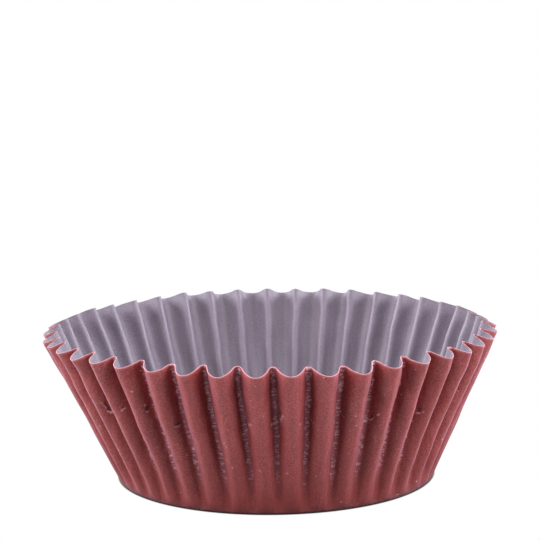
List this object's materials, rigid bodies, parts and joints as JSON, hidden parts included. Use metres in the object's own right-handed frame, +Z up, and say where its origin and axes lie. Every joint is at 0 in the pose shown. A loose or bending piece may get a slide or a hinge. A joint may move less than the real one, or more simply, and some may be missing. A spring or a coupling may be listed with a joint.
{
  "type": "cupcake liner",
  "caption": "Round paper baking cup with a flat base and a flared, fluted wall that holds batter while it bakes and the cake after.",
  "frame": {"origin": "centre of the base's underside, on the ground", "axes": "+Z up along the cup's axis; one crest of the flutes faces -Y"},
  "size_m": [0.0722, 0.0724, 0.024],
  "materials": {
    "liner_paper": "matte reddish-brown paper outside, pale lilac-grey inside"
  },
  "bodies": {
    "root": {"liner": "liner_paper"}
  },
  "joints": []
}
